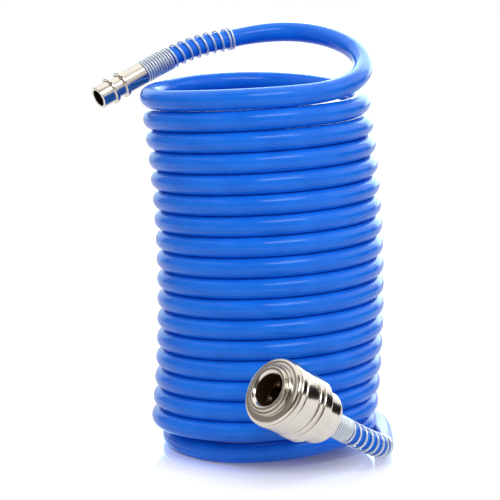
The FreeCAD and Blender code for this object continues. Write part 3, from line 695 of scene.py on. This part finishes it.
def soft_groove(place, before, after):
    """Outline points of a groove whose two edges are well rounded, from its rear edge to its front edge."""
    half, wall, depth, rounding = 0.8, 0.2, 0.85, 0.75
    floor = min(before, after) - depth
    points = [(before, place - half)]
    points += arc_points((before, place - half), (floor + 0.1, place - wall), rounding, 1, 5)
    points += [(floor + 0.1, place - wall), (floor, place), (floor + 0.1, place + wall)]
    points += arc_points((floor + 0.1, place + wall), (after, place + half), rounding, 1, 5)
    return points + [(after, place + half)]


def corner_angle(vert):
    """How far the outline turns at a point."""
    before, after = [(edge.other_vert(vert).co - vert.co).normalized() for edge in vert.link_edges]
    return math.pi - before.angle(after)


def merged_copy(node):
    """A CAD node's triangles, joined and ready for edits."""
    work = bmesh.new()
    work.from_mesh(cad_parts[node].data)
    bmesh.ops.remove_doubles(work, verts=work.verts[:], dist=MERGED)
    return work


def smooth_piece(name, work, material):
    """An object made from an edited mesh."""
    mesh = bpy.data.meshes.new(name)
    work.to_mesh(mesh)
    work.free()
    mesh.materials.clear()
    mesh.materials.append(material)
    mesh.shade_smooth()
    made = bpy.data.objects.new(name, mesh)
    bpy.context.scene.collection.objects.link(made)
    return made


def keep_flats(piece):
    """Shade the flats flat beside the small roundings."""
    shading = piece.modifiers.new("edge shading", "WEIGHTED_NORMAL")
    shading.keep_sharp = True


def turned_piece(name, outline, start, axis, material, opening=0.0, turned=0.0):
    """A turned piece from its outline of (radius, height) in millimetres, with rounded edges, and with
    an opening of that many degrees that starts where it is turned to."""
    work = bmesh.new()
    verts = [work.verts.new((radius * MM, 0, height * MM)) for radius, height in outline]
    for i, vert in enumerate(verts):
        work.edges.new((vert, verts[(i + 1) % len(verts)]))
    # Corners that are sharp and have room for the rounding on both sides
    corners = [vert for vert in verts if corner_angle(vert) > math.radians(25)
               and min(edge.calc_length() for edge in vert.link_edges) > 2 * fittings().edge]
    bmesh.ops.bevel(work, geom=corners, offset=fittings().edge, segments=3, profile=0.5,
                    affect="VERTICES", clamp_overlap=True, material=-1)
    if opening:
        bmesh.ops.contextual_create(work, geom=work.verts[:] + work.edges[:])
    bmesh.ops.spin(work, geom=work.verts[:] + work.edges[:] + work.faces[:], cent=(0, 0, 0), axis=(0, 0, 1),
                   dvec=(0, 0, 0), angle=2 * math.pi - math.radians(opening), steps=fittings().steps,
                   use_merge=not opening)
    if opening:
        bmesh.ops.holes_fill(work, edges=[edge for edge in work.edges if edge.is_boundary])
    bmesh.ops.remove_doubles(work, verts=work.verts[:], dist=MERGED)
    bmesh.ops.recalc_face_normals(work, faces=work.faces[:])
    turn = Vector((0, 0, 1)).rotation_difference(axis).to_matrix().to_4x4()
    turn = turn @ Matrix.Rotation(math.radians(turned), 4, "Z")
    bmesh.ops.transform(work, matrix=Matrix.Translation(start) @ turn, verts=work.verts[:])
    made = smooth_piece(name, work, material)
    keep_flats(made)
    return made


def barb_outline():
    """The barb from its free end up to the fitting's shoulder."""
    pitch = SHOULDER / BARB_RIDGES
    rise, fall = 0.8, 0.05
    points = [(AIR_PASSAGE, 0.0), (BARB_ROOT, 0.0)]
    for i in range(BARB_RIDGES):
        points += [(BARB_TOP, pitch * (i + rise)), (BARB_ROOT, pitch * (i + rise + fall))]
        if i < BARB_RIDGES - 1:
            points.append((BARB_ROOT, pitch * (i + 1)))
    return points


def dress(node, material):
    """Give a CAD node its finish."""
    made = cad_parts[node]
    made.data.materials.clear()
    made.data.materials.append(material)


def lead_in(work):
    """Let the nose's mouth run in with a wide rounding."""
    width, depth, start = 1.6 * MM, 1.1 * MM, 8.2 * MM
    front = NOSE_END * MM
    lip = front - 0.6 * MM
    for vert in work.verts:
        offset = vert.co - COUPLER_START
        height = offset.dot(COUPLER_AXIS)
        out = offset.cross(COUPLER_AXIS).length
        if height > lip and out < start:
            drop = depth * ((start - out) / width) ** 2
            vert.co += COUPLER_AXIS * (front - drop - height)


def round_nose(material):
    """A copy of the coupler's front body with the two edges of its nose well rounded."""
    face_height = (NOSE_END - 0.5) * MM
    mouth_limit = 7.5 * MM
    mouth_rounding, outer_rounding = 1.1 * MM, 0.4 * MM
    work = merged_copy("coupler_front_body")
    front = [face for face in work.faces if face.normal.dot(COUPLER_AXIS) > 0.99
             and (face.calc_center_median() - COUPLER_START).dot(COUPLER_AXIS) > face_height]
    rim = [edge for edge in work.edges if sum(face in front for face in edge.link_faces) == 1]
    mouth = [edge for edge in rim
             if (edge.verts[0].co - COUPLER_START).cross(COUPLER_AXIS).length < mouth_limit]
    outer = [edge for edge in rim if edge not in mouth]
    for edges, rounding in ((mouth, mouth_rounding), (outer, outer_rounding)):
        bmesh.ops.bevel(work, geom=edges, offset=rounding, segments=5, profile=0.5, affect="EDGES",
                        clamp_overlap=True, material=-1)
    lead_in(work)
    nose = smooth_piece("front_body", work, material)
    keep_flats(nose)
    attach(nose, "hose_and_coupler")
    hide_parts("coupler_front_body")


def squeezed_spring(name, node, body, material):
    """A copy of a coupler spring that stands on the rear body and shortens with the body it pushes."""
    spring = smooth_piece(name, merged_copy(node), material)
    heights = [(vertex.co - COUPLER_START).dot(COUPLER_AXIS) for vertex in spring.data.vertices]
    low = min(heights) + END_TURN
    high = max(heights) - END_TURN
    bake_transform(spring, "hose_and_coupler", body,
             COUPLER_START + COUPLER_AXIS * low, COUPLER_START + COUPLER_AXIS * high)
    for share, height in zip(spring.data.attributes["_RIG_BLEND"].data, heights):
        share.value = max(0.0, min(1.0, (height - low) / (high - low)))
    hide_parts(node)


class AIRHOSE_OT_turn_plug(bpy.types.Operator):
    """Turn the plug nipple: stem, two collars and the open nose"""

    bl_idname = "airhose.turn_plug"
    bl_label = "Turn the plug"

    def execute(self, context):
        collar = fittings().collar / MM
        stem, neck, nose, bore = 5.2, 4.7, 5.0, 3.6
        stem_length, collar_width, neck_width, nose_length = 10.0, 1.6, 4.1, 6.0
        bore_depth, edge = 15.0, 0.25
        rear_collar = SHOULDER + stem_length
        rear_end = rear_collar + collar_width
        front_collar = rear_end + neck_width
        front_end = front_collar + collar_width
        tip = front_end + nose_length
        bore_floor = tip - bore_depth
        outline = barb_outline() + [
            (BARB_ROOT, SHOULDER), (stem, SHOULDER), (stem, rear_collar), (collar, rear_collar),
            (collar, rear_end), (neck, rear_end), (neck, front_collar), (collar, front_collar),
            (collar, front_end), (nose, front_end), (nose, tip - edge), (nose - edge, tip), (bore, tip),
            (bore, bore_floor), (AIR_PASSAGE, bore_floor - bore + AIR_PASSAGE),
        ]
        nickel = nickel_finish("plug nickel", PLUG_START, PLUG_AXIS)
        plug = turned_piece("plug", outline, PLUG_START, PLUG_AXIS, nickel)
        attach(plug, "plug_end")
        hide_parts("plug_nipple")
        return {"FINISHED"}


class AIRHOSE_OT_turn_sleeve(bpy.types.Operator):
    """Turn the release sleeve: hollowed face, flange, ridge, swelling barrel, band and skirt"""

    bl_idname = "airhose.turn_sleeve"
    bl_label = "Turn the release sleeve"

    def execute(self, context):
        barrel = fittings().barrel / MM
        flange = fittings().flange / MM
        rear, front, rounded = 18.0, 39.4, 1.0
        skirt_bore, skirt_end, spring_bore, spring_seat = 11.35, 25.0, 11.0, 29.2
        ball_bore, cam_start, cam_end, release_bore, release_end = 9.35, 31.24, 36.0, 10.54, 37.85
        rim_edge, rim, hollow_edge = (12.75, 39.1), (12.6, 39.2), (10.7, front)
        outline = [(skirt_bore, rear), (barrel - 0.5, rear)]
        outline += arc_points(outline[-1], (barrel, rear + rounded), 1.1, 1, 4) + [(barrel, rear + rounded)]
        for place in (23.1, 26.1):
            outline += soft_groove(place, barrel, barrel)
        outline += arc_points(outline[-1], (barrel, 33.3), 50.0, 1, 9)
        outline += soft_groove(34.1, barrel, flange) + soft_groove(37.4, flange, flange - 0.15)
        outline += arc_points(outline[-1], rim_edge, 1.7, 1, 6) + [rim_edge, rim]
        outline += arc_points(rim, hollow_edge, 9.0, -1, 5) + [hollow_edge]
        outline += [(ball_bore, front), (ball_bore, release_end), (release_bore, release_end),
                    (release_bore, cam_end), (ball_bore, cam_start), (ball_bore, spring_seat),
                    (spring_bore, spring_seat), (spring_bore, skirt_end), (skirt_bore, skirt_end)]
        nickel = nickel_finish("sleeve nickel", COUPLER_START, COUPLER_AXIS)
        sleeve = turned_piece("sleeve", outline, COUPLER_START, COUPLER_AXIS, nickel)
        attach(sleeve, "release_sleeve")
        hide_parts("coupler_sleeve")
        return {"FINISHED"}


class AIRHOSE_OT_turn_rear_body(bpy.types.Operator):
    """Turn the coupler's rear body: barb, rounded rear edge and the socket for the front body"""

    bl_idname = "airhose.turn_rear_body"
    bl_label = "Turn the rear body"

    def execute(self, context):
        front, socket, seal_floor = 20.5, 11.5, 10.4
        rear_face, radius, socket_radius, seal_outer, seal_inner = 10.0, 11.2, 9.2, 8.8, 7.7
        round_end = (radius, 11.0)
        outline = barb_outline() + [(BARB_ROOT, SHOULDER), (rear_face, SHOULDER)]
        outline += arc_points(outline[-1], round_end, 4.35, 1, 6)
        outline += [round_end, (radius, front), (socket_radius, front), (socket_radius, socket),
                    (seal_outer, socket), (seal_outer, seal_floor), (seal_inner, seal_floor),
                    (seal_inner, socket), (AIR_PASSAGE, socket)]
        nickel = nickel_finish("rear body nickel", COUPLER_START, COUPLER_AXIS)
        body = turned_piece("rear_body", outline, COUPLER_START, COUPLER_AXIS, nickel)
        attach(body, "hose_and_coupler")
        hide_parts("coupler_rear_body")
        return {"FINISHED"}


class AIRHOSE_OT_turn_ring(bpy.types.Operator):
    """Turn the split retaining ring in front of the sleeve"""

    bl_idname = "airhose.turn_ring"
    bl_label = "Turn the retaining ring"

    def execute(self, context):
        inner, outer, rear, front = 8.85, 10.35, 39.5, 41.0
        outline = [(inner, rear), (outer, rear), (outer, front), (inner, front)]
        nickel = nickel_finish("ring nickel", COUPLER_START, COUPLER_AXIS)
        ring = turned_piece("retaining_ring", outline, COUPLER_START, COUPLER_AXIS, nickel,
                            opening=8.0, turned=108.0)
        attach(ring, "hose_and_coupler")
        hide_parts("sleeve_retaining_ring")
        return {"FINISHED"}


class AIRHOSE_OT_finish_fittings(bpy.types.Operator):
    """Give the front body, balls, valve, springs and seals their finishes"""

    bl_idname = "airhose.finish_fittings"
    bl_label = "Finish the small pieces"

    def execute(self, context):
        # Painted shade: the front body's bore inside this radius is coloured dark brown
        mouth_shade_radius = 6.65 * MM
        round_nose(nickel_finish("front body nickel with painted bore shade", COUPLER_START, COUPLER_AXIS, mouth_shade_radius))
        steel = ball_finish()
        for i in range(BALLS):
            dress("locking_ball_%d" % (i + 1), steel)
        zinc = zinc_finish()
        squeezed_spring("sleeve_return_spring", "sleeve_spring", "release_sleeve", zinc)
        squeezed_spring("valve_return_spring", "valve_spring", "valve", zinc)
        dress("valve_poppet", brass_finish(COUPLER_START, COUPLER_AXIS))
        rubber = rubber_finish()
        for node in ("plug_seal", "body_seal", "valve_seal"):
            dress(node, rubber)
        return {"FINISHED"}


# Stage

def area_lamp(name, place, target, width, height, power):
    lamp = bpy.data.lights.new(name, "AREA")
    lamp.shape = "RECTANGLE"
    lamp.size = width
    lamp.size_y = height
    lamp.energy = power
    made = bpy.data.objects.new(name, lamp)
    made.location = place
    made.visible_camera = False
    made.rotation_euler = (Vector(target) - Vector(place)).to_track_quat("-Z", "Y").to_euler()
    bpy.context.scene.collection.objects.link(made)
    return made


def white_floor():
    """White floor that mirrors the hose where it stands and turns plain white further out."""
    material = bpy.data.materials.new("white floor")
    graph = Graph(material)
    light = graph.add("ShaderNodeLightPath")
    camera = light.out("Is Camera Ray")
    glossy = light.out("Is Glossy Ray")
    coil_foot = (0.004, 0.003, 0.0)
    away = graph.vector("LENGTH", graph.vector("SUBTRACT", graph.place(), coil_foot), None, "Value")
    decimetres = away * 10.0
    # What the floor mirrors fades out, and its own light fades in, with the distance from the coil
    mirrored = graph.ramp(decimetres, (0.40, 1.0), (0.47, 0.9), (0.55, 0.46), (0.66, 0.12), (0.85, 0.0))
    outside = graph.ramp(decimetres, (0.34, 0.0), (0.46, 1.0))
    far = graph.ramp(away, (0.2, 0.0), (0.8, 1.0))
    fading = (camera + 0.3 * glossy) * (0.36 * outside + 0.4 * far)
    even = 0.21 * (camera + 1.4 * glossy)
    matte = graph.add("ShaderNodeBsdfDiffuse", None, {"Color": (0.62, 0.62, 0.64, 1.0)})
    glow = graph.add("ShaderNodeEmission", None, {"Strength": fading + even})
    both = graph.add("ShaderNodeAddShader", None, {0: matte.out(), 1: glow.out()})
    mirror = graph.add("ShaderNodeBsdfGlossy", None, {"Color": (0.62, 0.84, 1.0, 1.0), "Roughness": 0.07})
    dull = graph.add("ShaderNodeEmission", None, {"Strength": 0.0})
    shine = graph.add("ShaderNodeMixShader", None, {0: mirrored, 1: dull.out(), 2: mirror.out()})
    base = graph.add("ShaderNodeMixShader", None, {0: 0.6 * mirrored, 1: both.out(), 2: dull.out()})
    floor = graph.add("ShaderNodeAddShader", None, {0: base.out(), 1: shine.out()})
    graph.add("ShaderNodeOutputMaterial", None, {"Surface": floor.out()})
    return material


def white_surroundings(fill):
    """White for the camera and in reflections, a plain fill for the light."""
    world = bpy.data.worlds.new("white studio")
    bpy.context.scene.world = world
    graph = Graph(world)
    light = graph.add("ShaderNodeLightPath")
    shown = light.out("Is Camera Ray") + light.out("Is Glossy Ray") + light.out("Is Transmission Ray")
    strength = fill + (1.0 - fill) * shown
    back = graph.add("ShaderNodeBackground", None, {"Color": (1, 1, 1, 1), "Strength": strength})
    graph.add("ShaderNodeOutputWorld", None, {"Surface": back.out()})


def reflected_card(name, corners, shade):
    """A flat card that only reflections show."""
    mesh = bpy.data.meshes.new(name)
    mesh.from_pydata(corners, [], [(0, 1, 2, 3)])
    material = bpy.data.materials.new(name)
    graph = Graph(material)
    glow = graph.add("ShaderNodeEmission", None, {"Color": (*shade, 1.0), "Strength": 1.0})
    graph.add("ShaderNodeOutputMaterial", None, {"Surface": glow.out()})
    mesh.materials.append(material)
    card = bpy.data.objects.new(name, mesh)
    bpy.context.scene.collection.objects.link(card)
    card.visible_camera = False
    card.visible_diffuse = False
    card.visible_shadow = False


def wall_across(y, left, right, low, high):
    """Corners of an upright card that runs from left to right."""
    return [(left, y, low), (right, y, low), (right, y, high), (left, y, high)]


def wall_along(x, near, far, low, high):
    """Corners of an upright card that runs from front to back."""
    return [(x, near, low), (x, far, low), (x, far, high), (x, near, high)]


def overhead(z, left, right, near, far):
    """Corners of a level card."""
    return [(left, near, z), (right, near, z), (right, far, z), (left, far, z)]


def set_cards():
    """The studio round the hose, as the fittings and the hose mirror it."""
    front, left, right, back, top = -1.5, -1.4, 1.2, 1.7, 2.2
    behind_flag = right + 0.02
    turn, flag_end, far_end = -0.25, 0.66, 1.2
    flag_top, window_low, window_top = 0.47, 0.49, 1.3
    middle, low, high = -0.3, 0.1, 1.6
    black = (0.012, 0.010, 0.012)
    reflected_card("front_wall", wall_across(front, left, right, 0, top), (0.12, 0.105, 0.09))
    reflected_card("front_ceiling", overhead(top, left, 0.2, front, -0.45), (0.05, 0.04, 0.03))
    reflected_card("roof_window", overhead(top, left, right, -0.4, back), (1.35, 1.33, 1.30))
    reflected_card("left_wall", wall_along(left, front, 1.6, 0, 1.1), (0.28, 0.26, 0.24))
    reflected_card("back_window", wall_across(back, middle, 1.4, low, high), (3.0, 3.9, 4.2))
    reflected_card("back_window_left", wall_across(back, left, middle, low, high), (1.1, 1.5, 1.7))
    reflected_card("right_window", wall_along(behind_flag, turn, far_end, window_low, window_top),
                   (1.5, 1.5, 1.5))
    reflected_card("right_window_front", wall_along(behind_flag, front, turn, window_low, window_top),
                   (0.82, 0.80, 0.78))
    reflected_card("right_flag", wall_along(right, turn, flag_end, 0, flag_top), black)
    reflected_card("right_flag_front", wall_along(right, front, turn, 0, flag_top), (0.50, 0.48, 0.46))
    reflected_card("right_flag_far", wall_along(right, 0.72, far_end, 0, 0.38), black)


class AIRHOSE_OT_set_stage(bpy.types.Operator):
    """Set the camera, the white floor and the soft lights"""

    bl_idname = "airhose.set_stage"
    bl_label = "Set the stage"

    def execute(self, context):
        look = context.scene.stage_look
        lens = bpy.data.cameras.new("camera")
        lens.lens = look.lens
        lens.sensor_width = 36.0
        camera = bpy.data.objects.new("camera", lens)
        camera.location = (look.side, -look.distance, look.height)
        camera.rotation_euler = (math.pi / 2 - look.pitch, 0, 0)
        context.scene.collection.objects.link(camera)
        context.scene.camera = camera
        work = bmesh.new()
        bmesh.ops.create_grid(work, x_segments=1, y_segments=1, size=6.0)
        mesh = bpy.data.meshes.new("floor")
        work.to_mesh(mesh)
        work.free()
        mesh.materials.append(white_floor())
        floor = bpy.data.objects.new("floor", mesh)
        context.scene.collection.objects.link(floor)
        white_surroundings(look.fill)
        set_cards()
        middle = (0, 0, 0.08)
        key = area_lamp("key", (0.22, -0.75, 0.93), middle, 0.7, 0.32, look.key)
        key.data.color = (0.86, 0.97, 1.0)
        for name, side, share in (("right_rim", 0.42, 1.0), ("left_rim", -0.42, 0.7)):
            rim = area_lamp(name, (side, 0.75, 1.0), middle, 0.5, 0.4, look.rim * share)
            rim.visible_glossy = False
        context.scene.view_settings.view_transform = "Standard"
        return {"FINISHED"}


class AIRHOSE_PT_panel(bpy.types.Panel):
    """Buttons that build the hose in the viewport"""

    bl_label = "Coiled air hose"
    bl_idname = "AIRHOSE_PT_panel"
    bl_space_type = "VIEW_3D"
    bl_region_type = "UI"
    bl_category = "Air Hose"

    def draw(self, context):
        scene = context.scene
        for group in (scene.hose_sizes, scene.fitting_sizes, scene.hose_finishes, scene.stage_look):
            box = self.layout.box()
            for name in group.__annotations__:
                box.prop(group, name)
        for operator in OPERATORS:
            self.layout.operator(operator.bl_idname)


GROUPS = {
    "hose_sizes": HoseSizes,
    "fitting_sizes": FittingSizes,
    "hose_finishes": Finishes,
    "stage_look": StageLook,
}
OPERATORS = (
    AIRHOSE_OT_set_stage,
    AIRHOSE_OT_turn_plug,
    AIRHOSE_OT_wind_hose,
    AIRHOSE_OT_turn_sleeve,
    AIRHOSE_OT_turn_rear_body,
    AIRHOSE_OT_turn_ring,
    AIRHOSE_OT_finish_fittings,
)


def register():
    for name, group in GROUPS.items():
        bpy.utils.register_class(group)
        setattr(bpy.types.Scene, name, PointerProperty(type=group))
    for operator in OPERATORS:
        bpy.utils.register_class(operator)
    bpy.utils.register_class(AIRHOSE_PT_panel)


def unregister():
    bpy.utils.unregister_class(AIRHOSE_PT_panel)
    for operator in reversed(OPERATORS):
        bpy.utils.unregister_class(operator)
    for name, group in reversed(GROUPS.items()):
        delattr(bpy.types.Scene, name)
        bpy.utils.unregister_class(group)


def main():
    register()
    bpy.ops.airhose.set_stage()
    bpy.ops.airhose.turn_plug()
    bpy.ops.airhose.wind_hose()
    bpy.ops.airhose.turn_sleeve()
    bpy.ops.airhose.turn_rear_body()
    bpy.ops.airhose.turn_ring()
    bpy.ops.airhose.finish_fittings()


if __name__ == "__main__":
    main()
